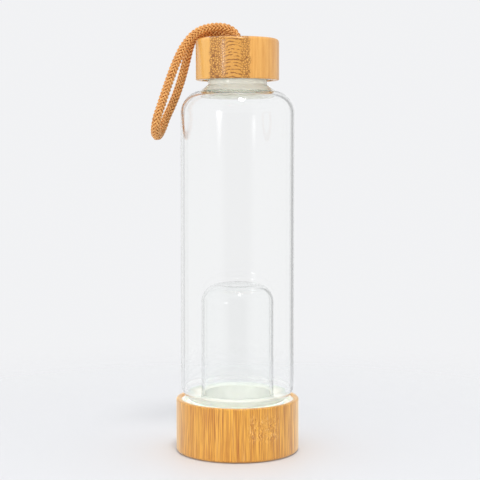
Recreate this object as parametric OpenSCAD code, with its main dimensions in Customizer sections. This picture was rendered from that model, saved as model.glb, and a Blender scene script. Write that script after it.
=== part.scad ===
// Glass water bottle with a bamboo screw lid, a braided carry strap, and an
// inner glass chamber that opens into a bamboo screw base.
// Millimetres, +Z up, origin at the centre of the base's underside.

/* [Glass] */
// Outer diameter of the bottle's wall
bottle_d = 65; // [62:0.5:67]
// Thickness of the bottle's wall
bottle_wall = 2; // [1.6:0.1:2.4]
// Height of the mouth's rim above the table
mouth_z = 220.9; // [220.9:0.1:221]
// Outer diameter of the neck, without its thread
neck_d = 33.8; // [33:0.1:34]
// Diameter of the mouth
mouth_d = 29; // [27.6:0.1:29.4]
// Outer radius of the shoulder
shoulder_r = 13; // [11:0.5:14]
// Outer radius of the heel
heel_r = 10; // [9:0.5:11]
// Outer diameter of the inner chamber and its foot
chamber_d = 41.5; // [40:0.5:42]
// Thickness of the chamber's wall
chamber_wall = 1.75; // [1.5:0.05:2]
// Height of the chamber's crown above the table
chamber_top_z = 97.5; // [80:0.5:120]

/* [Bamboo] */
// Diameter of the base
base_d = 70.6; // [69.6:0.1:73]
// Height of the base
base_h = 30.5; // [30:0.5:32]
// Thickness of the base's floor
base_floor = 12; // [10:0.1:12]
// Diameter of the lid
cap_d = 47.6; // [47:0.1:51]
// Height of the lid
cap_h = 23.4; // [22.9:0.1:26]

/* [Strap] */
// Diameter of the braided cord
cord_d = 5.4; // [4.6:0.1:5.5]

/* [Threads] */
// Rise of every thread in one turn
pitch = 4; // [3.9:0.1:4.2]
// How far a thread's ridge stands out of its wall
ridge_h = 1.5; // [1.2:0.1:1.5]

/* [Hidden] */
$fn = 96;

eps = 0.01;
fit_gap = 0.2;          // clearance round a gasket or the knot
face_gap = 0.1;         // clearance above and below a gasket

// Glass
bottle_r = bottle_d / 2;
neck_r = neck_d / 2;
mouth_r = mouth_d / 2;
flare = [4.5, 3.2];     // width and height of the cone from the neck to the shoulder
shoulder_z = 207;       // top of the shoulder
heel_z = 28.5;          // underside of the heel
seal_fillet = 3.25;     // where the bottle's floor runs up the chamber's wall
chamber_r = chamber_d / 2;
chamber_corner_r = 10.4;
crown_r = 60;
foot_z = 14.5;          // rim of the chamber's threaded foot
rim_round = 0.8;

// Centre of the chamber's rounded corner, and of the crown that is tangent to it
corner_x = chamber_r - chamber_corner_r;
corner_drop = sqrt(pow(crown_r - chamber_corner_r, 2) - pow(corner_x, 2));
crown_z = chamber_top_z - crown_r;
corner_z = crown_z + corner_drop;

// Lid
cap_z = 212.8;
cap_top_z = cap_z + cap_h;
cap_top_round = 2;
cap_foot_round = 0.6;
cap_bore_r = 20.4;
cap_bore_top = 224;
cap_liner_z = cap_z + 0.6;
cap_liner_roof = 1.4;
strap_hole_r = 6.5;
strap_hole_chamfer = 1.6;
pocket_r = 8.5;
pocket_top = 229.5;
knot_r = 8;
knot_z = cap_bore_top + fit_gap;
knot_top = 229.2;

// Base
base_r = base_d / 2;
base_top_round = 1;
base_foot_round = 2;
base_seat_r = 32.5;     // counterbore that the liner's flange lies in
base_seat_z = 26;
base_bore_r = 25;
liner_floor = 1.6;
flange_h = 1.2;
flange_lip_z = 29.5;    // white rim that shows round the heel
flange_lip_w = 2.2;
gasket_z = base_seat_z + flange_h;
foot_gasket_r = 27;

// Threads: height of each glass ridge's middle where it starts, and its turns.
// The moulded ridges run midway between the turns of the glass ones
neck_thread_z = 213.8;
foot_thread_z = 16.5;
glass_turns = 1.25;
liner_turns = 1;
glass_ridge = [2.2, 0.9];   // width of a glass ridge at its root and its crest
liner_ridge = [1.3, 0.7];   // the same for a moulded ridge
thread_clearance = 0.4;     // between a ridge's crest and the wall that it faces
cap_liner_bore_r = neck_r + ridge_h + thread_clearance;
liner_skirt_r = chamber_r + ridge_h + thread_clearance;
steps_per_turn = 60;
ramp = 30;                  // degrees over which a ridge rises out of its wall

// The strap's centreline: up out of the lid, over its rim, down to the loop's
// end and back again. x, y, z
strap_route = [
    [0.8, -2.8, 229.2], [0.8, -2.8, 231.6], [0.5, -2.8, 234.2], [-0.4, -2.9, 237],
    [-2.5, -3.1, 240], [-6.2, -3.5, 242], [-11.4, -3.9, 242.6], [-17, -4.4, 241.9],
    [-21.8, -4.9, 240.1], [-25.8, -5.4, 237.1], [-28.8, -5.9, 233.4], [-31.6, -6.4, 229],
    [-35, -7.2, 221.5], [-38, -8, 213.5], [-40.8, -8.9, 205.3], [-43.2, -9.9, 197.8],
    [-45, -11, 192.2], [-46.1, -9.5, 186.8], [-46.5, -5.5, 182.8], [-46, 0, 181.3],
    [-44.8, 5.5, 182.8], [-43.1, 9.5, 186.8], [-41.2, 11, 192.2], [-38.5, 10.6, 198],
    [-35.6, 9.8, 204.8], [-32.9, 9.2, 212.5], [-30.7, 8.6, 220], [-28.9, 7.9, 227],
    [-27.6, 7.4, 232], [-25.9, 7, 236.2], [-22.9, 6.4, 239.1], [-19, 5.8, 240.3],
    [-15, 5.1, 240.6], [-10.9, 4.5, 240.4], [-7.5, 4, 239.6], [-4.6, 3.6, 238.2],
    [-2.2, 3.2, 236.1], [-0.5, 2.9, 233.7], [0.3, 2.8, 231.5], [0.5, 2.8, 229.2]
];
cord_sides = 12;

bamboo = "#E0A558";
clear_glass = [0.86, 0.95, 0.92, 0.4];
white_plastic = "#F4F4F0";
silicone = "#E9EFEA";
tan_braid = "#C98A4B";

// ---------- shared shapes ----------

// Half outline of a turned blank, with its lower and upper edges rounded
module turned_outline(r, h, foot_round, top_round) {
    square([r - foot_round, h / 2]);
    translate([0, foot_round]) square([r, h - foot_round - top_round]);
    translate([0, h / 2]) square([r - top_round, h / 2]);
    translate([r - foot_round, foot_round]) circle(foot_round);
    translate([r - top_round, h - top_round]) circle(top_round);
}

// Keeps the half of an outline that rotate_extrude can turn
module right_half() {
    intersection() {
        children();
        square([200, 400]);
    }
}

// Flat ring between two radii
module ring(outer_r, inner_r, h) {
    difference() {
        cylinder(r = outer_r, h = h);
        translate([0, 0, -eps]) cylinder(r = inner_r, h = h + 2 * eps);
    }
}

// Height of a ridge at one step: it ramps up out of the wall and back into it
function ridge_rise(degrees, span) =
    let (from_end = min(degrees, span - degrees))
    sin(90 * min(1, from_end / ramp));

// Right-handed helical ridge of trapezium section. out is 1 on the outside of
// a wall and -1 on the inside of one
module thread_ridge(wall_r, widths, z, turns, out) {
    root_in = 0.5;
    span = 360 * turns;
    n = ceil(steps_per_turn * turns);
    points = [
        for (i = [0:n])
            let (
                a = span * i / n,
                rise = 0.05 + 0.95 * ridge_rise(a, span),
                crest_r = wall_r + out * ridge_h * rise,
                root_r = wall_r - out * root_in,
                mid_z = z + pitch * a / 360,
                crest_w = widths[1] * (0.4 + 0.6 * rise)
            )
            for (corner = [
                [root_r, -widths[0] / 2], [crest_r, -crest_w / 2],
                [crest_r, crest_w / 2], [root_r, widths[0] / 2]
            ])
                [corner[0] * cos(a), corner[0] * sin(a), mid_z + corner[1]]
    ];
    sides = [
        for (i = [0:n - 1], k = [0:3])
            let (a = 4 * i + k, b = 4 * i + (k + 1) % 4)
            for (face = [[a, b, b + 4], [a, b + 4, a + 4]])
                out > 0 ? face : [face[2], face[1], face[0]]
    ];
    start = out > 0 ? [3, 2, 1, 0] : [0, 1, 2, 3];
    end = [for (k = start) 4 * n + 3 - k];
    polyhedron(points, concat(sides, [start, end]));
}

// ---------- glass ----------

// Filled half outline of the bottle below its neck, drawn in by inset
module bottle_outline(inset, corner_r) {
    r = bottle_r - inset;
    shoulder_x = bottle_r - shoulder_r;
    body_top = shoulder_z - shoulder_r;
    corner_at = [r - corner_r, heel_z + inset + corner_r];
    translate([0, corner_at[1]]) square([r, body_top - corner_at[1]]);
    translate([shoulder_x, body_top]) circle(shoulder_r - inset);
    translate([0, body_top - 1]) square([shoulder_x, shoulder_r + 1 - inset]);
    translate(corner_at) circle(corner_r);
    translate([0, heel_z + inset]) square([corner_at[0], corner_r + 1]);
}

// Half outline of the neck, with the cone that joins it to the shoulder
module neck_outline() {
    translate([0, shoulder_z - 1]) square([neck_r, mouth_z - shoulder_z + 1 - rim_round]);
    translate([0, mouth_z - rim_round - eps]) square([neck_r - rim_round, rim_round + eps]);
    translate([neck_r - rim_round, mouth_z - rim_round]) circle(rim_round);
    polygon([
        [0, shoulder_z - 1], [neck_r + flare[0], shoulder_z - 1], [neck_r + flare[0], shoulder_z],
        [neck_r, shoulder_z + flare[1]], [0, shoulder_z + flare[1]]
    ]);
}

module bottle_glass() {
    color(clear_glass) {
        rotate_extrude() difference() {
            right_half() union() {
                bottle_outline(0, heel_r);
                neck_outline();
            }
            // Water space
            difference() {
                bottle_outline(bottle_wall, bottle_r - bottle_wall - chamber_r - seal_fillet);
                // Floor that sweeps up to the chamber
                difference() {
                    translate([0, heel_z]) square([chamber_r + seal_fillet, bottle_wall + seal_fillet]);
                    translate([chamber_r + seal_fillet, heel_z + bottle_wall + seal_fillet])
                        circle(seal_fillet);
                }
            }
            translate([-eps, shoulder_z - 10]) square([mouth_r + eps, mouth_z - shoulder_z + 11]);
            // Seat of the chamber, which is fused in here
            translate([-eps, heel_z - 1]) square([chamber_r + eps, 40]);
        }
        thread_ridge(neck_r, glass_ridge, neck_thread_z, glass_turns, 1);
    }
}

// Filled half outline of the chamber's dome and foot, drawn in by inset
module chamber_outline(inset) {
    translate([corner_x, corner_z]) circle(chamber_corner_r - inset);
    intersection() {
        translate([0, crown_z]) circle(crown_r - inset);
        polygon([[0, crown_z], [2 * corner_x, crown_z + 2 * corner_drop], [0, crown_z + 2 * corner_drop]]);
    }
    translate([0, foot_z + chamber_wall / 2])
        square([chamber_r - inset, corner_z - foot_z - chamber_wall / 2]);
}

module chamber_glass() {
    color(clear_glass) {
        rotate_extrude() {
            difference() {
                right_half() chamber_outline(0);
                chamber_outline(chamber_wall);
            }
            translate([chamber_r - chamber_wall / 2, foot_z + chamber_wall / 2])
                circle(chamber_wall / 2);
        }
        thread_ridge(chamber_r, glass_ridge, foot_thread_z, glass_turns, 1);
    }
}

// ---------- lid ----------

module cap_shell() {
    color(bamboo) difference() {
        translate([0, 0, cap_z])
            rotate_extrude() right_half() turned_outline(cap_d / 2, cap_h, cap_foot_round, cap_top_round);
        translate([0, 0, cap_z - 1]) cylinder(r = cap_bore_r, h = cap_bore_top - cap_z + 1);
        cylinder(r = pocket_r, h = pocket_top);
        cylinder(r = strap_hole_r, h = cap_top_z + 1);
        translate([0, 0, cap_top_z - strap_hole_chamfer])
            cylinder(r1 = strap_hole_r, r2 = strap_hole_r + strap_hole_chamfer, h = strap_hole_chamfer + eps);
    }
}

module cap_liner() {
    roof_z = cap_bore_top - cap_liner_roof;
    color(white_plastic) {
        difference() {
            translate([0, 0, cap_liner_z]) cylinder(r = cap_bore_r, h = cap_bore_top - cap_liner_z);
            translate([0, 0, cap_liner_z - 1]) cylinder(r = cap_liner_bore_r, h = roof_z - cap_liner_z + 1);
        }
        // Half a pitch below the neck's helix, starting three quarters of a turn along it
        rotate(270) thread_ridge(cap_liner_bore_r, liner_ridge, neck_thread_z + pitch / 4, liner_turns, -1);
    }
}

module cap_gasket() {
    color(silicone) translate([0, 0, mouth_z + face_gap])
        ring(cap_liner_bore_r - fit_gap, mouth_r - 1.8, cap_bore_top - cap_liner_roof - mouth_z - 2 * face_gap);
}

// ---------- base ----------

module base_shell() {
    color(bamboo) difference() {
        rotate_extrude() right_half() turned_outline(base_r, base_h, base_foot_round, base_top_round);
        translate([0, 0, base_floor]) cylinder(r = base_bore_r, h = base_h);
        translate([0, 0, base_seat_z]) cylinder(r = base_seat_r, h = base_h);
    }
}

module base_liner() {
    color(white_plastic) {
        difference() {
            union() {
                translate([0, 0, base_floor]) cylinder(r = base_bore_r, h = base_seat_z - base_floor + eps);
                translate([0, 0, base_seat_z]) cylinder(r = base_seat_r, h = flange_lip_z - base_seat_z);
            }
            translate([0, 0, base_floor + liner_floor]) cylinder(r = liner_skirt_r, h = base_h);
            translate([0, 0, gasket_z]) cylinder(r = base_seat_r - flange_lip_w, h = base_h);
        }
        thread_ridge(liner_skirt_r, liner_ridge, foot_thread_z + pitch / 2, liner_turns, -1);
    }
}

module foot_gasket() {
    color(silicone) translate([0, 0, gasket_z + face_gap])
        ring(foot_gasket_r, chamber_r + fit_gap, heel_z - gasket_z - 2 * face_gap);
}

// ---------- strap ----------

// Direction of the route at point i
function heading(route, i) =
    let (
        d = i == 0 || i == len(route) - 1
            ? [0, 0, i == 0 ? 1 : -1]
            : route[i + 1] - route[i - 1]
    ) d / norm(d);

// Directions across the route, each carried on from the one before without a twist
function crossings(route, i, last) =
    i == len(route) ? [] :
    let (
        along = heading(route, i),
        across = last - (last * along) * along,
        u = across / norm(across)
    ) concat([u], crossings(route, i + 1, u));

// A tube along a route, with a ring of points at each of its points
module swept_tube(route, d, sides) {
    n = len(route);
    us = crossings(route, 0, [0, -1, 0]);
    points = [
        for (i = [0:n - 1])
            let (u = us[i], v = cross(heading(route, i), u))
            for (k = [0:sides - 1])
                let (a = 360 * k / sides)
                route[i] + d / 2 * (cos(a) * u + sin(a) * v)
    ];
    walls = [
        for (i = [0:n - 2], k = [0:sides - 1])
            let (a = i * sides + k, b = i * sides + (k + 1) % sides)
            for (face = [[a, a + sides, b + sides], [a, b + sides, b]]) face
    ];
    polyhedron(points, concat(
        walls,
        [[for (k = [0:sides - 1]) k]],
        [[for (k = [0:sides - 1]) n * sides - 1 - k]]
    ));
}

module strap_cord() {
    color(tan_braid) swept_tube(strap_route, cord_d, cord_sides);
}

module strap_knot() {
    color(tan_braid) translate([0, 0, knot_z])
        rotate_extrude() right_half() turned_outline(knot_r, knot_top - knot_z, 2.2, 2.2);
}

base_shell();
base_liner();
foot_gasket();
chamber_glass();
bottle_glass();
cap_gasket();
cap_liner();
cap_shell();
strap_knot();
strap_cord();
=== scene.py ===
"""Glass water bottle with a bamboo lid and base and a braided strap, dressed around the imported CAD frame.

Lengths are written in millimetres, as in the CAD, and become metres where a mesh is made."""

import math

import bmesh
import bpy
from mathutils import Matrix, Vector


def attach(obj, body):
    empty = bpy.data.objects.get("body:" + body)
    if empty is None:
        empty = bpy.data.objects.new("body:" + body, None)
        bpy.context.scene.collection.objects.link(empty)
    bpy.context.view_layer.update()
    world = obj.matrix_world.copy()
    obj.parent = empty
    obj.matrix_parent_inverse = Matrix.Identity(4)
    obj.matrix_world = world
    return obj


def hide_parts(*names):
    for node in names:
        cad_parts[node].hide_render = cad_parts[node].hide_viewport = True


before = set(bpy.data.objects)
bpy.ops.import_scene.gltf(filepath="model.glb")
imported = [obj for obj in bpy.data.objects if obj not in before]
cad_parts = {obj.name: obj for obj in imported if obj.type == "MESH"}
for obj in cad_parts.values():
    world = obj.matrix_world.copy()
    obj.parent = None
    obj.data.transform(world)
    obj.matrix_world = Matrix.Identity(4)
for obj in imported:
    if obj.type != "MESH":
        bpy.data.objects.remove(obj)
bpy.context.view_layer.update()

MM = 0.001
TAU = 2 * math.pi

# ---------- main sizes, in mm; they follow the CAD's ----------

PITCH = 4.0
RIDGE_H = 1.5
GLASS_RIDGE = (1.1, 0.45)  # half widths at root and crest
LINER_RIDGE = (0.65, 0.35)
BODY_R, BORE_R, SHOULDER_Z = 32.5, 30.5, 194.0
INNER_FLOOR_Z, OUTER_FLOOR_Z = 30.5, 28.5
NECK_R, MOUTH_R, LIP_Z, NECK_THREAD_Z = 16.9, 14.5, 220.1, 213.8
CHAMBER_R, CHAMBER_WALL, CHAMBER_TOP_Z = 20.75, 1.75, 97.5
CHAMBER_LOW_Z, FOOT_THREAD_Z = 15.4, 16.5
LID_R, LID_BORE_R, LID_LOW_Z, LID_CEILING_Z, LID_TOP_Z = 23.8, 20.4, 212.8, 224.0, 236.2
BASE_R, BASE_TOP_Z = 35.3, 30.5
CUP_R, CUP_LEDGE_Z, SOCKET_R, SOCKET_FLOOR_Z = 32.5, 26.0, 25.0, 12.0
CAP_LINER_R, SKIRT_R = 18.8, 22.65
CORD_D = 5.4

# The strap's centreline, point for point as in the CAD
STRAP_ROUTE = [
    (0.8, -2.8, 229.2), (0.8, -2.8, 231.6), (0.5, -2.8, 234.2), (-0.4, -2.9, 237),
    (-2.5, -3.1, 240), (-6.2, -3.5, 242), (-11.4, -3.9, 242.6), (-17, -4.4, 241.9),
    (-21.8, -4.9, 240.1), (-25.8, -5.4, 237.1), (-28.8, -5.9, 233.4), (-31.6, -6.4, 229),
    (-35, -7.2, 221.5), (-38, -8, 213.5), (-40.8, -8.9, 205.3), (-43.2, -9.9, 197.8),
    (-45, -11, 192.2), (-46.1, -9.5, 186.8), (-46.5, -5.5, 182.8), (-46, 0, 181.3),
    (-44.8, 5.5, 182.8), (-43.1, 9.5, 186.8), (-41.2, 11, 192.2), (-38.5, 10.6, 198),
    (-35.6, 9.8, 204.8), (-32.9, 9.2, 212.5), (-30.7, 8.6, 220), (-28.9, 7.9, 227),
    (-27.6, 7.4, 232), (-25.9, 7, 236.2), (-22.9, 6.4, 239.1), (-19, 5.8, 240.3),
    (-15, 5.1, 240.6), (-10.9, 4.5, 240.4), (-7.5, 4, 239.6), (-4.6, 3.6, 238.2),
    (-2.2, 3.2, 236.1), (-0.5, 2.9, 233.7), (0.3, 2.8, 231.5), (0.5, 2.8, 229.2),
]


# ---------- camera ----------

CAMERA_PLACE = (1.46, -714.0, 172.9)
CAMERA_TILT = 87.0  # degrees up from straight down
SENSOR_WIDTH, FOCAL_LENGTH = 36.0, 93.35
CAMERA_SHIFT_UP = -0.0508  # as a share of the frame


def add_camera():
    data = bpy.data.cameras.new("camera")
    data.sensor_width = SENSOR_WIDTH
    data.lens = FOCAL_LENGTH
    data.shift_y = CAMERA_SHIFT_UP
    cam = bpy.data.objects.new("camera", data)
    cam.location = [c * MM for c in CAMERA_PLACE]
    cam.rotation_euler = (math.radians(CAMERA_TILT), 0, 0)
    bpy.context.scene.collection.objects.link(cam)
    bpy.context.scene.camera = cam


add_camera()


# ---------- mesh helpers ----------

def new_object(name, verts, faces, uvs=None):
    """A smooth-shaded object from points in mm, with one UV per corner of each face if given."""
    mesh = bpy.data.meshes.new(name)
    mesh.from_pydata([tuple(c * MM for c in v) for v in verts], [], faces)
    if uvs:
        layer = mesh.uv_layers.new(name="UVMap")
        for i, uv in enumerate(uvs):
            layer.data[i].uv = uv
    mesh.polygons.foreach_set("use_smooth", [True] * len(mesh.polygons))
    obj = bpy.data.objects.new(name, mesh)
    bpy.context.scene.collection.objects.link(obj)
    return obj


def face_outwards(obj):
    bm = bmesh.new()
    bm.from_mesh(obj.data)
    bmesh.ops.recalc_face_normals(bm, faces=bm.faces)
    bm.to_mesh(obj.data)
    bm.free()


def arc(cx, cz, r, start, end, step=7.5):
    """Points of an arc in the half plane, angles in degrees from +r towards +Z."""
    n = max(2, math.ceil(abs(end - start) / step))
    return [
        (cx + r * math.cos(math.radians(start + (end - start) * i / n)),
         cz + r * math.sin(math.radians(start + (end - start) * i / n)))
        for i in range(n + 1)
    ]


def run(a, b, step):
    """Points from a to b, both included, at most step apart."""
    n = max(1, math.ceil(math.dist(a, b) / step))
    return [(a[0] + (b[0] - a[0]) * i / n, a[1] + (b[1] - a[1]) * i / n) for i in range(n + 1)]


def rounded(corners):
    """A profile through corners (r, z, rounding), each rounded by an arc tangent to both its sides."""
    points = []
    n = len(corners)
    for i, (x, z, r) in enumerate(corners):
        if r == 0:
            points.append((x, z))
            continue
        here = Vector((x, z))
        before = (Vector(corners[i - 1][:2]) - here).normalized()
        after = (Vector(corners[(i + 1) % n][:2]) - here).normalized()
        half = before.angle(after) / 2
        reach = r / math.tan(half)
        middle = here + (before + after).normalized() * (r / math.sin(half))
        p, q = here + before * reach - middle, here + after * reach - middle
        turn = math.atan2(p.x * q.y - p.y * q.x, p.dot(q))
        steps = max(3, math.ceil(abs(turn) / math.radians(11)))
        for k in range(steps + 1):
            a = turn * k / steps
            points.append((middle.x + p.x * math.cos(a) - p.y * math.sin(a),
                           middle.y + p.x * math.sin(a) + p.y * math.cos(a)))
    return points


def smoothstep(t):
    t = min(1.0, max(0.0, t))
    return t * t * (3 - 2 * t)


def ridge(z0, turns, half_widths, start_deg=0.0):
    """A function of angle and height: how far a right-handed helical ridge stands out, from 0 to RIDGE_H."""
    root, crest = half_widths
    ramp = 30.0  # degrees over which each end rises
    span = 360 * turns

    def height(theta, z):
        best = 0.0
        for k in range(-1, int(turns) + 2):
            a = math.degrees(theta) - start_deg + 360 * k
            if 0 <= a <= span:
                off = abs(z - (z0 + PITCH * a / 360))
                rise = math.sin(math.radians(90 * min(1.0, min(a, span - a) / ramp)))
                best = max(best, rise * smoothstep((root - off) / (root - crest)))
        return RIDGE_H * best

    return height


def lathe(name, profile, segments=192, closed=True, threads=()):
    """A turned piece. closed joins the profile's end to its start; otherwise both its ends lie on the axis.
    threads holds (r, z_low, z_high, out, height): points of that radius and height range move by height,
    outwards if out is 1 and inwards if it is -1."""
    verts, rows = [], []
    for r, z in profile:
        if r < 1e-6:
            rows.append([len(verts)])
            verts.append((0.0, 0.0, z))
            continue
        row = []
        for s in range(segments):
            theta = TAU * s / segments
            radius = r
            for wall, low, high, out, height in threads:
                if abs(r - wall) < 1e-3 and low <= z <= high:
                    radius = r + out * height(theta, z)
            row.append(len(verts))
            verts.append((radius * math.cos(theta), radius * math.sin(theta), z))
        rows.append(row)
    faces = []
    for a, b in zip(rows, rows[1:] + rows[:1] if closed else rows[1:]):
        for s in range(segments):
            t = (s + 1) % segments
            if len(a) == 1:
                faces.append((a[0], b[t], b[s]))
            elif len(b) == 1:
                faces.append((a[s], a[t], b[0]))
            else:
                faces.append((a[s], a[t], b[t], b[s]))
    obj = new_object(name, verts, faces)
    face_outwards(obj)
    return obj


def smooth_path(points, step):
    """A Catmull-Rom curve through points, with samples about step apart, and its length."""
    per_span = 24
    pts = [Vector(p) for p in points]
    pts = [2 * pts[0] - pts[1]] + pts + [2 * pts[-1] - pts[-2]]
    dense = []
    for a, b, c, d in zip(pts, pts[1:], pts[2:], pts[3:]):
        for i in range(per_span):
            t = i / per_span
            dense.append(0.5 * (2 * b + (c - a) * t + (2 * a - 5 * b + 4 * c - d) * t * t
                                + (3 * b - a - 3 * c + d) * t ** 3))
    dense.append(pts[-2])
    lengths = [0.0]
    for p, q in zip(dense, dense[1:]):
        lengths.append(lengths[-1] + (q - p).length)
    n = round(lengths[-1] / step)
    out, k = [], 0
    for i in range(n + 1):
        want = lengths[-1] * i / n
        while k < len(lengths) - 2 and lengths[k + 1] < want:
            k += 1
        f = (want - lengths[k]) / max(1e-9, lengths[k + 1] - lengths[k])
        out.append(dense[k].lerp(dense[k + 1], min(1.0, max(0.0, f))))
    return out, lengths[-1]


def carried_frames(path, closed=False):
    """Tangent and two cross directions at each point, carried along without a twist."""
    n = len(path)
    across = Vector((0, -1, 0))
    out = []
    for i in range(n):
        before = (i - 1) % n if closed else max(0, i - 1)
        after = (i + 1) % n if closed else min(n - 1, i + 1)
        t = (path[after] - path[before]).normalized()
        across = (across - across.dot(t) * t).normalized()
        out.append((t, across.copy(), t.cross(across)))
    return out


def braid(name, path, length, d, closed=False):
    """A round braid of plump yarns, half of them wound each way and passing over and under the others, on a
    plain core. Its faces have material 0 on the yarns and 1 on the core."""
    carriers, lay = 6, 13.0  # yarns wound each way, and the length in mm of one turn
    frames = carried_frames(path, closed)
    n = len(path)
    thick = d * 0.2
    wave = thick * 0.45
    middle = d / 2 - thick / 2 - wave
    width = TAU * middle / carriers * 0.57  # leaves gaps between yarns
    turns = max(1, round(length / lay)) if closed else length / lay
    lean = math.atan2(TAU * middle * turns, length)
    rings = n if closed else n - 1
    verts, faces, uvs = [], [], []

    def tube(sections):
        base = len(verts)
        m = len(sections[0])
        for section in sections:
            verts.extend(section)
        for i in range(rings):
            j = (i + 1) % n
            for k in range(m):
                q = (k + 1) % m
                faces.append((base + i * m + k, base + i * m + q, base + j * m + q, base + j * m + k))
                u0, u1 = i * length / n, (i + 1) * length / n
                uvs.extend([(u0, k / m), (u0, (k + 1) / m), (u1, (k + 1) / m), (u1, k / m)])
        if not closed:
            for i, order in ((0, range(m - 1, -1, -1)), (n - 1, range(m))):
                faces.append(tuple(base + i * m + k for k in order))
                uvs.extend([(i * length / n, k / m) for k in order])

    for side in (1, -1):
        for c in range(carriers):
            sections = []
            for i, (p, (t, u, v)) in enumerate(zip(path, frames)):
                along = turns * i / rings
                phi = side * TAU * along + TAU * (c + (0.5 if side < 0 else 0)) / carriers
                weave = math.sin(carriers / 2 * phi)
                r = middle + side * wave * math.copysign(abs(weave) ** 0.6, weave)
                radial = math.cos(phi) * u + math.sin(phi) * v
                around = -math.sin(phi) * u + math.cos(phi) * v
                sideways = around * math.cos(lean) - side * t * math.sin(lean)
                sections.append([
                    p + r * radial + sideways * (width / 2 * math.cos(TAU * k / 8))
                    + radial * (thick / 2 * math.sin(TAU * k / 8)) for k in range(8)
                ])
            tube(sections)
    yarn_faces = len(faces)
    core_r = middle - wave * 0.6
    tube([[p + core_r * (math.cos(TAU * k / 12) * u + math.sin(TAU * k / 12) * v) for k in range(12)]
          for p, (_, u, v) in zip(path, frames)])
    obj = new_object(name, verts, faces, uvs)
    obj.data.polygons.foreach_set("material_index", [int(i >= yarn_faces) for i in range(len(faces))])
    face_outwards(obj)
    return obj


# ---------- strap ----------

strap_path, strap_length = smooth_path(STRAP_ROUTE, step=0.55)
strap = braid("strap_braid", strap_path, strap_length, CORD_D)
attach(strap, "strap")
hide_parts("strap_cord")

KNOT_Z, KNOT_D, KNOT_POINTS = 226.7, 3.6, 150


def knot_point(t):
    """A point of a flat trefoil, t from 0 to a full turn."""
    r = (2 + math.cos(3 * t)) * 2.0
    return Vector((r * math.cos(2 * t), r * math.sin(2 * t), KNOT_Z + 0.6 * math.sin(3 * t)))


knot_loop = [knot_point(TAU * i / KNOT_POINTS) for i in range(KNOT_POINTS)]
knot_length = sum((a - b).length for a, b in zip(knot_loop, knot_loop[1:] + knot_loop[:1]))
knot = braid("strap_knot_braid", knot_loop, knot_length, KNOT_D, closed=True)
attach(knot, "strap")
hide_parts("strap_knot")


# ---------- glass ----------

def glass_profile():
    """Bottle and chamber as the one piece of glass that they are, from the pole of the dome's top,
    through the water space and the mouth, down the outside and up into the chamber to the lower pole."""
    corner_r, crown_r = 10.4, 60.0  # the dome's edge, and its gently curved top
    seam_r, inner_heel_r, outer_heel_r = 3.25, 6.5, 10.0
    shoulder_x, inner_shoulder_r, outer_shoulder_r = 19.5, 11.0, 13.0
    fillet_r, fillet_z, lip_r = 3.2, 208.2, 0.8  # the neck's inner foot, and the lip
    neck_low_z = 211.4
    top = CHAMBER_TOP_Z
    cx = CHAMBER_R - corner_r
    drop = math.sqrt((crown_r - corner_r) ** 2 - cx ** 2)
    corner_z = top - crown_r + drop
    lean = math.degrees(math.atan2(drop, cx))
    p = [(0.0, top)]
    p += arc(0, top - crown_r, crown_r, 90, lean, 0.9)[1:]
    p += arc(cx, corner_z, corner_r, lean, 0, 5)[1:]
    # the water space: chamber's wall, seam, floor, wall, shoulder and neck
    p += run((CHAMBER_R, corner_z), (CHAMBER_R, INNER_FLOOR_Z + seam_r), 6)[1:]
    p += arc(CHAMBER_R + seam_r, INNER_FLOOR_Z + seam_r, seam_r, 180, 270, 9)[1:]
    p += arc(BORE_R - inner_heel_r, INNER_FLOOR_Z + inner_heel_r, inner_heel_r, 270, 360, 6)[1:]
    p += run((BORE_R, INNER_FLOOR_Z + inner_heel_r), (BORE_R, SHOULDER_Z), 6)[1:]
    p += arc(shoulder_x, SHOULDER_Z, inner_shoulder_r, 0, 90, 5)[1:]
    p += arc(MOUTH_R + fillet_r, fillet_z, fillet_r, 270, 180, 9)
    p += run((MOUTH_R, fillet_z), (MOUTH_R, LIP_Z), 3)[1:]
    p += arc(MOUTH_R + lip_r, LIP_Z, lip_r, 180, 90, 18)[1:]
    # the outside: neck, shoulder, wall and heel
    p += arc(NECK_R - lip_r, LIP_Z, lip_r, 90, 0, 18)
    p += run((NECK_R, LIP_Z), (NECK_R, neck_low_z), 0.25)[1:]
    p += rounded([(NECK_R, neck_low_z, 0), (NECK_R, 210.2, 0.8), (21.4, 206.95, 0.9), (22.6, 206.6, 0)])[1:-1]
    p += [q for q in arc(shoulder_x, SHOULDER_Z, outer_shoulder_r, 90, 0, 4) if q[0] > p[-1][0] + 0.2]
    heel_x, heel_z = BODY_R - outer_heel_r, OUTER_FLOOR_Z + outer_heel_r
    p += run((BODY_R, SHOULDER_Z), (BODY_R, heel_z), 6)[1:]
    p += arc(heel_x, heel_z, outer_heel_r, 0, -90, 5)[1:]
    # the chamber's threaded foot and its inside
    p += rounded([(heel_x, OUTER_FLOOR_Z, 0), (CHAMBER_R, OUTER_FLOOR_Z, 0.5), (CHAMBER_R, 27.0, 0)])[1:-1]
    p += run((CHAMBER_R, 27.8), (CHAMBER_R, CHAMBER_LOW_Z), 0.25)[1:]
    p += arc(CHAMBER_R - CHAMBER_WALL / 2, CHAMBER_LOW_Z, CHAMBER_WALL / 2, 0, -180, 22.5)[1:]
    inner = CHAMBER_R - CHAMBER_WALL
    p += run((inner, CHAMBER_LOW_Z), (inner, corner_z), 6)[1:]
    p += arc(cx, corner_z, corner_r - CHAMBER_WALL, 0, lean, 5)[1:]
    p += arc(0, top - crown_r, crown_r - CHAMBER_WALL, lean, 90, 0.9)[1:-1]
    p.append((0.0, top - CHAMBER_WALL))
    return p


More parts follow.
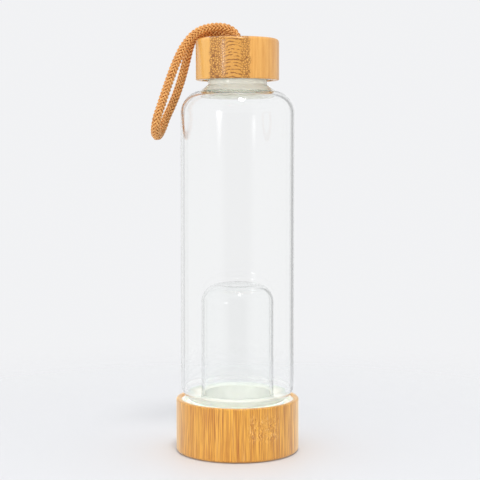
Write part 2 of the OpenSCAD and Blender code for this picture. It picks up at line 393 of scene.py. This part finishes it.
glass = lathe(
    "bottle_one_piece_glass", glass_profile(), segments=224, closed=False,
    threads=[
        (NECK_R, 212.0, 219.9, 1, ridge(NECK_THREAD_Z, 1.25, GLASS_RIDGE)),
        (CHAMBER_R, CHAMBER_LOW_Z, 24.0, 1, ridge(FOOT_THREAD_Z, 1.25, GLASS_RIDGE)),
    ],
)
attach(glass, "bottle")
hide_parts("bottle_glass", "chamber_glass")
glass.visible_shadow = False

# The fused seam at the foot and the neck below the lid take the second material: glass made cloudy and
# off-white as painted light, standing in for light coming through the glass there and for the white liner
# seen through the neck
for face in glass.data.polygons:
    r, z = math.hypot(face.center.x, face.center.y) / MM, face.center.z / MM
    in_seam = 27.5 < z < 34.5 and 18.5 < r < 29.6
    in_neck = 204.5 < z < 212.9 and r < 21.6
    face.material_index = int(in_seam or in_neck)


# ---------- lid ----------

lid = lathe("lid_bamboo", rounded([
    (LID_BORE_R, LID_LOW_Z, 0.25), (LID_R, LID_LOW_Z, 0.6), (LID_R, LID_TOP_Z, 2.0),
    # the strap's hole with its chamfer, and the knot's pocket below it
    (8.1, LID_TOP_Z, 0.6), (6.5, 234.6, 0.6), (6.5, 229.5, 0.3), (8.5, 229.5, 0.3),
    (8.5, LID_CEILING_Z, 0.3), (LID_BORE_R, LID_CEILING_Z, 0.3),
]))
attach(lid, "cap")
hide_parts("cap_shell")

lid_liner = lathe("lid_liner_moulded", (
    rounded([(0.0, LID_CEILING_Z, 0), (LID_BORE_R, LID_CEILING_Z, 0.25), (LID_BORE_R, 213.4, 0.5),
             (CAP_LINER_R, 213.4, 0.4), (CAP_LINER_R, 214.0, 0)])[:-1]
    + run((CAP_LINER_R, 213.9), (CAP_LINER_R, 220.1), 0.2)
    # the ceiling, with a shallow moulded groove
    + rounded([(CAP_LINER_R, 220.1, 0), (CAP_LINER_R, 222.6, 0.3), (11.0, 222.6, 0.2), (11.0, 222.2, 0.2),
               (9.8, 222.2, 0.2), (9.8, 222.6, 0.2), (0.0, 222.6, 0)])[1:]
), closed=False, threads=[
    (CAP_LINER_R, 213.8, 220.2, -1, ridge(NECK_THREAD_Z + PITCH / 4, 1, LINER_RIDGE, start_deg=270)),
])
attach(lid_liner, "cap")
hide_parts("cap_liner")

lid_seal = lathe("lid_seal", rounded([
    (12.7, 221.0, 0.4), (14.3, 221.0, 0.2), (14.9, 221.3, 0.3), (16.5, 221.3, 0.3), (17.1, 221.0, 0.2),
    (18.6, 221.0, 0.4), (18.6, 222.5, 0.4), (12.7, 222.5, 0.4),
]))
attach(lid_seal, "cap_ring")
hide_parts("cap_gasket")


# ---------- base ----------

base = lathe("base_bamboo", rounded([
    (0.0, 0.0, 0), (BASE_R, 0.0, 2.0), (BASE_R, BASE_TOP_Z, 1.0), (CUP_R, BASE_TOP_Z, 0.6),
    (CUP_R, CUP_LEDGE_Z, 0.3), (SOCKET_R, CUP_LEDGE_Z, 0.3), (SOCKET_R, SOCKET_FLOOR_Z, 0.5),
    (0.0, SOCKET_FLOOR_Z, 0),
]), closed=False, segments=224)
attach(base, "base")
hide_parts("base_shell")

base_liner = lathe("base_liner_moulded", (
    rounded([(0.0, SOCKET_FLOOR_Z, 0), (SOCKET_R, SOCKET_FLOOR_Z, 0.5), (SOCKET_R, CUP_LEDGE_Z, 0.3),
             (CUP_R, CUP_LEDGE_Z, 0.3), (CUP_R, 29.5, 0.5), (30.3, 29.5, 0.5), (30.3, 27.2, 0.3),
             (SKIRT_R, 27.2, 0.5), (SKIRT_R, 25.0, 0)])[:-1]
    + run((SKIRT_R, 26.4), (SKIRT_R, 16.0), 0.25)
    # the socket's floor, with a shallow moulded groove
    + rounded([(SKIRT_R, 16.0, 0), (SKIRT_R, 13.6, 0.8), (17.2, 13.6, 0.2), (17.0, 13.8, 0.2),
               (16.2, 13.8, 0.2), (16.0, 13.6, 0.2), (0.0, 13.6, 0)])[1:]
), closed=False, threads=[
    (SKIRT_R, 17.0, 24.5, -1, ridge(FOOT_THREAD_Z + PITCH / 2, 1, LINER_RIDGE)),
])
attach(base_liner, "base")
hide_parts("base_liner")

base_seal = lathe("base_seal", rounded([
    (20.95, 27.3, 0.3), (27.0, 27.3, 0.4), (27.0, 28.4, 0.4), (20.95, 28.4, 0.3),
]))
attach(base_seal, "foot_ring")
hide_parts("foot_gasket")


# ---------- shader helpers ----------

def srgb(r, g, b):
    """A colour given in 0 to 255 as shown on a screen, as Blender's linear colour."""
    shares = (r / 255, g / 255, b / 255)
    return tuple(c / 12.92 if c <= 0.04045 else ((c + 0.055) / 1.055) ** 2.4 for c in shares) + (1.0,)


class Graph:
    """Short calls for the nodes of a material, a lamp or the world. An input is a number, a colour or another
    node's output."""

    def __init__(self, tree):
        self.tree = tree
        tree.nodes.clear()

    def node(self, kind, settings=(), **inputs):
        """A new node. settings are its own fields; an input is given by its name, or as i0, i1 and so on."""
        n = self.tree.nodes.new(kind)
        for key, value in dict(settings).items():
            setattr(n, key, value)
        for key, value in inputs.items():
            by_number = key[0] == "i" and key[1:].isdigit()
            self.feed(n.inputs[int(key[1:]) if by_number else key.replace("_", " ")], value)
        return n

    def feed(self, socket, value):
        if isinstance(value, bpy.types.NodeSocket):
            self.tree.links.new(value, socket)
        else:
            socket.default_value = value

    def math(self, op, a, b=0.0, clamp=False):
        return self.node("ShaderNodeMath", {"operation": op, "use_clamp": clamp}, i0=a, i1=b).outputs[0]

    def plus(self, a, b, clamp=False):
        return self.math("ADD", a, b, clamp)

    def minus(self, a, b):
        return self.math("SUBTRACT", a, b)

    def times(self, a, b):
        return self.math("MULTIPLY", a, b)

    def weighted(self, *terms):
        """The sum of value x weight over terms."""
        parts = [self.times(value, weight) for value, weight in terms]
        total = parts[0]
        for part in parts[1:]:
            total = self.plus(total, part)
        return total

    def mapped(self, vector, scale=(1, 1, 1), shift=(0, 0, 0)):
        return self.node("ShaderNodeMapping", {"vector_type": "POINT"}, Vector=vector, Location=shift,
                         Scale=scale).outputs[0]

    def noise(self, vector, scale=1.0, detail=2.0, rough=0.5):
        return self.node("ShaderNodeTexNoise", Vector=vector, Scale=scale, Detail=detail,
                         Roughness=rough).outputs["Fac"]

    def cells(self, vector, feature="F1", jitter=1.0):
        return self.node("ShaderNodeTexVoronoi", {"feature": feature}, Vector=vector, Scale=1.0,
                         Randomness=jitter).outputs["Distance"]

    def band(self, value, low, high, out_low=0.0, out_high=1.0):
        """A smooth step from out_low at low to out_high at high."""
        return self.node("ShaderNodeMapRange", {"interpolation_type": "SMOOTHSTEP", "clamp": True},
                         Value=value, From_Min=low, From_Max=high, To_Min=out_low,
                         To_Max=out_high).outputs[0]

    def inside(self, value, low, high, soft):
        """1 between low and high and 0 outside, with each step reaching soft to both sides of its bound."""
        return self.times(self.band(value, low - soft, low + soft),
                          self.band(value, high - soft, high + soft, 1.0, 0.0))

    def mix(self, fac, a, b):
        """Colour a where fac is 0 and colour b where it is 1."""
        n = self.node("ShaderNodeMix", {"data_type": "RGBA"})
        self.feed(n.inputs[0], fac)
        self.feed(n.inputs[6], a)
        self.feed(n.inputs[7], b)
        return n.outputs[2]

    def split(self, vector):
        return self.node("ShaderNodeSeparateXYZ", Vector=vector).outputs

    def join(self, x, y, z):
        return self.node("ShaderNodeCombineXYZ", X=x, Y=y, Z=z).outputs[0]

    def bump(self, height, strength, distance):
        return self.node("ShaderNodeBump", Height=height, Strength=strength, Distance=distance).outputs[0]

    def surface(self, **inputs):
        """Feeds inputs of the material's own shader."""
        for key, value in inputs.items():
            self.feed(self.shader.inputs[key.replace("_", " ")], value)


def material(name, **values):
    """A material with a Principled shader, its graph and its coordinates in mm."""
    mat = bpy.data.materials.new(name)
    mat.use_nodes = True
    g = Graph(mat.node_tree)
    shader = g.node("ShaderNodeBsdfPrincipled", **values)
    g.shader = shader
    g.out = g.node("ShaderNodeOutputMaterial", Surface=shader.outputs[0])
    coords = g.node("ShaderNodeTexCoord")
    g.mm = g.mapped(coords.outputs["Object"], scale=(1000, 1000, 1000))
    g.uv = coords.outputs["UV"]
    return mat, g


def wear(pieces, *mats):
    """Gives each piece its materials, and keeps which face has which of them."""
    for p in pieces:
        slots = [0] * len(p.data.polygons)
        p.data.polygons.foreach_get("material_index", slots)
        p.data.materials.clear()
        for mat in mats:
            p.data.materials.append(mat)
        p.data.polygons.foreach_set("material_index", slots)


# ---------- bamboo ----------

def base_bamboo_material():
    """Laminated bamboo with its fibres upright: fine streaks up the side and one patch of curly knuckle."""
    mat, g = material("bamboo_upright", Coat_Weight=0.6, Coat_Roughness=0.3, Sheen_Weight=0.9,
                      Sheen_Roughness=0.4, Sheen_Tint=(1.0, 0.80, 0.52, 1.0))
    x, y, z = g.split(g.mm)
    # in the knuckle the fibres wander sideways
    where = g.times(g.inside(x, 6.5, 22.5, 1.8), g.band(y, -2.0, 2.0, 1.0, 0.0))
    level = g.inside(g.plus(z, g.times(g.noise(g.mm, 0.2, 1.0), 6.0)), 15.0, 28.0, 3.0)
    knuckle = g.times(where, level)
    curl = g.minus(g.noise(g.mapped(g.mm, scale=(0.55, 0.55, 0.42)), detail=2.0), 0.5)
    across = g.plus(x, g.times(g.times(curl, 3.2), knuckle))
    drift = g.minus(g.noise(g.mapped(g.mm, scale=(0.08, 0.08, 0.03)), detail=1.0), 0.5)
    plan = g.join(g.plus(across, g.times(drift, 0.8)), g.times(y, 0.35), z)
    # streaks: hair-fine, fine and broad, then single pale and dark lines
    hair = g.noise(g.mapped(plan, scale=(4.2, 4.2, 0.05)), detail=2.0, rough=0.6)
    fine = g.noise(g.mapped(plan, scale=(2.5, 2.5, 0.03), shift=(3.0, 0, 0)), detail=3.0, rough=0.6)
    broad = g.noise(g.mapped(plan, scale=(0.16, 0.16, 0.004), shift=(7.3, 0, 0)), detail=2.0, rough=0.5)
    tone = g.weighted((hair, 0.75), (fine, 0.5), (broad, 0.2))
    colour = g.mix(g.band(tone, 0.58, 0.86), srgb(172, 96, 2), srgb(240, 178, 64))
    lines = g.noise(g.mapped(plan, scale=(0.9, 0.9, 0.006), shift=(0, 5.0, 0)), detail=1.0)
    colour = g.mix(g.times(g.inside(lines, 0.605, 0.625, 0.012), 0.5), colour, srgb(252, 206, 132))
    colour = g.mix(g.times(g.inside(lines, 0.385, 0.405, 0.012), 0.45), colour, srgb(160, 92, 30))
    # flecks in the knuckle
    flecks = g.noise(g.mapped(plan, scale=(2.1, 2.1, 0.42), shift=(1.7, 0, 4.0)), detail=3.0, rough=0.7)
    dark_flecks = g.times(knuckle, g.band(flecks, 0.55, 0.66))
    pale_flecks = g.times(knuckle, g.band(flecks, 0.46, 0.36))
    colour = g.mix(g.times(dark_flecks, 0.55), colour, srgb(160, 88, 16))
    colour = g.mix(g.times(pale_flecks, 0.55), colour, srgb(255, 214, 136))
    # a darker band along the bottom edge, at the foot
    foot = g.band(z, 0.4, 1.3, 1.0, 0.0)
    colour = g.mix(g.times(foot, 0.6), colour, srgb(128, 80, 40))
    relief = g.plus(g.times(hair, 0.6), fine)
    g.surface(Base_Color=colour, Roughness=g.plus(0.38, g.times(hair, 0.2)),
              Normal=g.bump(relief, 0.2, 0.00012))
    return mat


def lid_bamboo_material():
    """Laminated bamboo with its fibres level, front to back: front and back show the ends of the strips."""
    mat, g = material("bamboo_level", Coat_Weight=0.6, Coat_Roughness=0.16)
    x, _, z = g.split(g.mm)
    wander = g.times(g.minus(g.noise(g.mapped(g.mm, scale=(0.3, 0.02, 0.4)), detail=2.0), 0.5), 3.0)
    edge = g.plus(x, wander)
    middle = g.inside(edge, -15.4, 6.9, 0.7)
    # ripples across the middle strip's heart, bowing down at its sides
    u = g.plus(x, 2.8)
    bow = g.times(g.times(u, u), 0.035)
    wobble = g.times(g.noise(g.mapped(g.mm, scale=(0.25, 0.02, 0.45)), detail=2.0), 3.0)
    height = g.plus(g.plus(z, bow), wobble)
    spacing = 1.9  # mm from ripple to ripple
    ripple = g.band(g.math("SINE", g.times(height, TAU / spacing)), 0.1, 0.8)
    gaps = g.band(g.noise(g.mapped(g.mm, scale=(0.5, 0.03, 1.2)), detail=2.0), 0.36, 0.5)
    ripples = g.times(ripple, gaps)
    # a net of small cells with pale specks at both sides of the heart
    skewed = g.mapped(g.mm, scale=(0.86, 0.02, 0.8))
    net = g.band(g.cells(skewed, feature="DISTANCE_TO_EDGE", jitter=0.85), 0.05, 0.17, 1.0, 0.0)
    heart = g.inside(edge, -6.6, 2.6, 1.3)
    beside = g.minus(1.0, heart)
    pattern = g.plus(g.times(ripples, heart), g.times(net, beside), clamp=True)
    specks = g.band(g.cells(skewed, jitter=0.85), 0.1, 0.26, 1.0, 0.0)
    specks = g.times(specks, beside)
    # the outer strips are nearly plain
    fine = g.noise(g.mapped(g.mm, scale=(2.4, 0.05, 2.4)), detail=3.0, rough=0.65)
    streak = g.noise(g.mapped(g.mm, scale=(0.9, 0.03, 0.05)), detail=2.0, rough=0.6)
    tone = g.weighted((fine, 0.35), (streak, 0.65))
    plain = g.mix(g.band(tone, 0.3, 0.7), srgb(214, 148, 60), srgb(234, 174, 86))
    # painted light: the lid's left side is painted lighter, as where the light from the left falls on it
    left = g.band(x, -12.0, -17.0)
    plain = g.mix(g.times(left, 0.6), plain, srgb(238, 184, 94))
    core = g.mix(g.band(fine, 0.3, 0.7), srgb(200, 138, 50), srgb(222, 162, 74))
    core = g.mix(g.times(specks, 0.6), core, srgb(246, 206, 128))
    core = g.mix(g.times(pattern, 0.95), core, srgb(136, 80, 12))
    relief = g.minus(fine, g.times(g.times(pattern, middle), 0.8))
    g.surface(Base_Color=g.mix(middle, plain, core), Roughness=g.plus(0.34, g.times(fine, 0.2)),
              Normal=g.bump(relief, 0.2, 0.0001))
    return mat


# ---------- the other materials ----------

GLASS_IOR = 1.473


def tint_glass(g):
    """A faint green that shows where the glass is thick."""
    volume = g.node("ShaderNodeVolumeAbsorption", Color=(0.60, 0.86, 0.76, 1.0), Density=8.0)
    g.feed(g.out.inputs["Volume"], volume.outputs[0])


def glass_material():
    """Clear borosilicate glass with a very slight waviness."""
    mat, g = material("clear_glass", Base_Color=(1.0, 1.0, 1.0, 1.0), Roughness=0.0, IOR=GLASS_IOR,
                      Transmission_Weight=1.0)
    tint_glass(g)
    ripple = g.noise(g.mapped(g.mm, scale=(0.02, 0.02, 0.008)), detail=1.0)
    g.surface(Normal=g.bump(ripple, 0.15, 0.00025))
    return mat


def seam_and_neck_painted_light_glass_material():
    """The same glass made cloudy and off-white as painted light, standing in for light coming through the
    glass at the seam and for the white liner seen through the neck: slightly greener at the foot than at the
    neck."""
    mat, g = material("cloudy_glass_painted_light", Roughness=0.03, IOR=GLASS_IOR, Transmission_Weight=0.3)
    tint_glass(g)
    cloud = g.noise(g.mm, 0.35, detail=2.0)
    _, _, z = g.split(g.mm)
    foot = g.mix(cloud, srgb(240, 242, 234), srgb(250, 251, 246))
    neck = g.mix(cloud, srgb(250, 249, 238), srgb(255, 254, 247))
    g.surface(Base_Color=g.mix(g.band(z, 100.0, 140.0), foot, neck), Normal=g.bump(cloud, 0.2, 0.0003))
    return mat


def white_plastic_material():
    mat, g = material("white_moulded_plastic", Subsurface_Weight=0.15, Subsurface_Scale=0.002)
    grain = g.noise(g.mm, 3.0, detail=3.0)
    cloud = g.noise(g.mm, 0.09, detail=1.0)
    g.surface(Base_Color=g.mix(cloud, srgb(243, 243, 238), srgb(250, 250, 247)),
              Roughness=g.plus(0.3, g.times(grain, 0.16)), Normal=g.bump(grain, 0.12, 0.00006))
    return mat


def silicone_material():
    mat, g = material("translucent_silicone", Subsurface_Weight=0.35, Subsurface_Scale=0.003)
    dust = g.noise(g.mm, 1.4, detail=3.0)
    g.surface(Base_Color=g.mix(dust, srgb(226, 232, 228), srgb(240, 244, 241)),
              Roughness=g.plus(0.42, g.times(dust, 0.18)), Normal=g.bump(dust, 0.1, 0.00008))
    return mat


def yarn_material():
    """Waxed yarns: twisted plies along each yarn, fine fuzz, and a tone that drifts along the strap."""
    mat, g = material("tan_yarn", Sheen_Weight=0.2, Sheen_Roughness=0.4, Coat_Weight=0.3, Coat_Roughness=0.35)
    u, v, _ = g.split(g.uv)
    ply = g.band(g.math("SINE", g.times(g.weighted((u, 1.3), (v, 4.0)), TAU)), -1.0, 1.0)
    fuzz = g.noise(g.join(g.times(u, 9.0), g.times(v, 18.0), 0.0), detail=3.0, rough=0.6)
    drift = g.noise(g.mm, 0.35, detail=2.0)
    tone = g.weighted((ply, 0.3), (fuzz, 0.45), (drift, 0.4))
    colour = g.mix(g.band(tone, 0.35, 0.8), srgb(188, 116, 44), srgb(252, 194, 114))
    relief = g.weighted((ply, 0.7), (fuzz, 0.5))
    g.surface(Base_Color=colour, Roughness=g.plus(0.42, g.times(fuzz, 0.2)),
              Normal=g.bump(relief, 0.5, 0.00012))
    return mat


def core_painted_shade_material():
    """Painted shade: the core is coloured dark brown to stand for the shade deep between the yarns."""
    mat, g = material("yarn_core_painted_shade", Roughness=0.8)
    fuzz = g.noise(g.mm, 2.0, detail=2.0)
    g.surface(Base_Color=g.mix(fuzz, srgb(92, 44, 12), srgb(132, 72, 26)),
              Normal=g.bump(fuzz, 0.4, 0.0001))
    return mat


wear([base], base_bamboo_material())
wear([lid], lid_bamboo_material())
wear([glass], glass_material(), seam_and_neck_painted_light_glass_material())
wear([lid_liner, base_liner], white_plastic_material())
wear([lid_seal, base_seal], silicone_material())
wear([strap, knot], yarn_material(), core_painted_shade_material())


# ---------- floor, light and surroundings ----------

PALE = (0.885, 0.89, 0.905, 1.0)
TENT, DARK_GAP, THIN_GAP, DARK_FRONT, CEILING = 0.90, 0.4, 0.3, 0.25, 0.88
FLOOR_RINGS = (120, 300, 900)
FLOOR_DROP = 0.02  # mm below the base, so that the two don't share a plane


def add_floor():
    """A pale disc that fades out into the pale surroundings."""
    verts = [(0.0, 0.0, 0.0)]
    faces = []
    n = 96
    for k, r in enumerate(FLOOR_RINGS):
        verts += [(r * math.cos(TAU * i / n), r * math.sin(TAU * i / n), 0.0) for i in range(n)]
        for i in range(n):
            j = (i + 1) % n
            a, b = 1 + k * n + i, 1 + k * n + j
            if k == 0:
                faces.append((0, a, b))
            else:
                faces.append((a - n, a, b, b - n))
    floor = new_object("floor", verts, faces)
    floor.location.z = -FLOOR_DROP * MM
    mat, g = material("pale_floor", Roughness=0.6, Base_Color=(0.76, 0.77, 0.79, 1.0))
    x, y, _ = g.split(g.mm)
    r = g.math("SQRT", g.plus(g.times(x, x), g.times(y, y)))
    g.surface(Alpha=g.band(r, 60.0, 420.0, 1.0, 0.0))
    wear([floor], mat)


def add_world():
    """Pale to the camera. Everything else sees a light tent with a darker gap behind on the right, a narrower
    one behind on the left and a darker camera side, which draw the glass's edges."""
    world = bpy.data.worlds.new("surroundings")
    bpy.context.scene.world = world
    world.use_nodes = True
    g = Graph(world.node_tree)
    direction = g.node("ShaderNodeTexCoord").outputs["Generated"]
    x, y, z = g.split(direction)
    azimuth = g.times(g.math("ARCTAN2", x, y), 360 / TAU)  # 0 behind the object, 90 to its right
    value = g.minus(TENT, g.times(g.inside(azimuth, 20.0, 34.0, 2.0), DARK_GAP))
    value = g.minus(value, g.times(g.inside(azimuth, -38.0, -33.0, 1.5), THIN_GAP))
    front = g.band(g.math("ABSOLUTE", azimuth), 140.0, 160.0)
    value = g.minus(value, g.times(front, DARK_FRONT))
    low = g.band(z, -0.25, -0.12, 1.0, 0.0)
    high = g.band(z, 0.45, 0.7)
    level = g.math("MAXIMUM", value, g.times(g.math("MAXIMUM", low, high), CEILING))
    light = g.join(level, level, g.times(level, 1.01))
    seen_directly = g.node("ShaderNodeLightPath").outputs["Is Camera Ray"]
    background = g.node("ShaderNodeBackground", Color=g.mix(seen_directly, light, PALE), Strength=1.0)
    g.node("ShaderNodeOutputWorld", Surface=background.outputs[0])


def add_area(name, azimuth, elevation, distance, width, height, power, aim_z=120.0, soft=False,
             mirrored=True, only=()):
    """An elliptical lamp. azimuth is degrees from the camera's side, positive to the right. A soft one fades
    towards its rim. One that isn't mirrored leaves no highlight. One with only= lights only those pieces."""
    data = bpy.data.lights.new(name, "AREA")
    data.shape = "ELLIPSE"
    data.size, data.size_y = width * MM, height * MM
    data.energy = power
    if soft:
        data.use_nodes = True
        g = Graph(data.node_tree)
        u, v, _ = g.split(g.node("ShaderNodeNewGeometry").outputs["Parametric"])
        across, up = g.minus(u, 0.5), g.minus(v, 0.5)
        away = g.math("SQRT", g.plus(g.times(across, across), g.times(up, up)))
        glow = g.node("ShaderNodeEmission", Strength=g.band(away, 0.0, 0.5, 1.0, 0.0))
        g.node("ShaderNodeOutputLight", Surface=glow.outputs[0])
    lamp = bpy.data.objects.new(name, data)
    a, e = math.radians(azimuth), math.radians(elevation)
    aim = Vector((0, 0, aim_z * MM))
    towards = Vector((math.sin(a) * math.cos(e), -math.cos(a) * math.cos(e), math.sin(e)))
    lamp.location = aim + distance * MM * towards
    lamp.rotation_euler = (aim - lamp.location).to_track_quat("-Z", "Y").to_euler()
    lamp.visible_glossy = lamp.visible_transmission = mirrored
    if only:
        lit = bpy.data.collections.new(name + "_lights")
        for piece in only:
            lit.objects.link(piece)
        lamp.light_linking.receiver_collection = lit
    bpy.context.scene.collection.objects.link(lamp)


add_floor()
add_world()
add_area("window_in_glass", azimuth=-37, elevation=5, distance=1500, width=470, height=340, power=2.0,
         aim_z=185, soft=True)
add_area("window_on_wood", azimuth=-40, elevation=10, distance=1500, width=190, height=500, power=1.2,
         aim_z=185, only=(lid, base, strap, knot))
add_area("overhead", azimuth=14, elevation=67, distance=1300, width=240, height=300, power=5.2)
add_area("fill", azimuth=-14, elevation=6, distance=1500, width=800, height=500, power=5.0,
         mirrored=False)

scene = bpy.context.scene
scene.cycles.max_bounces = 32
scene.cycles.transmission_bounces = 32
scene.cycles.diffuse_bounces = 8
scene.view_settings.view_transform = "Standard"
scene.view_settings.look = "None"
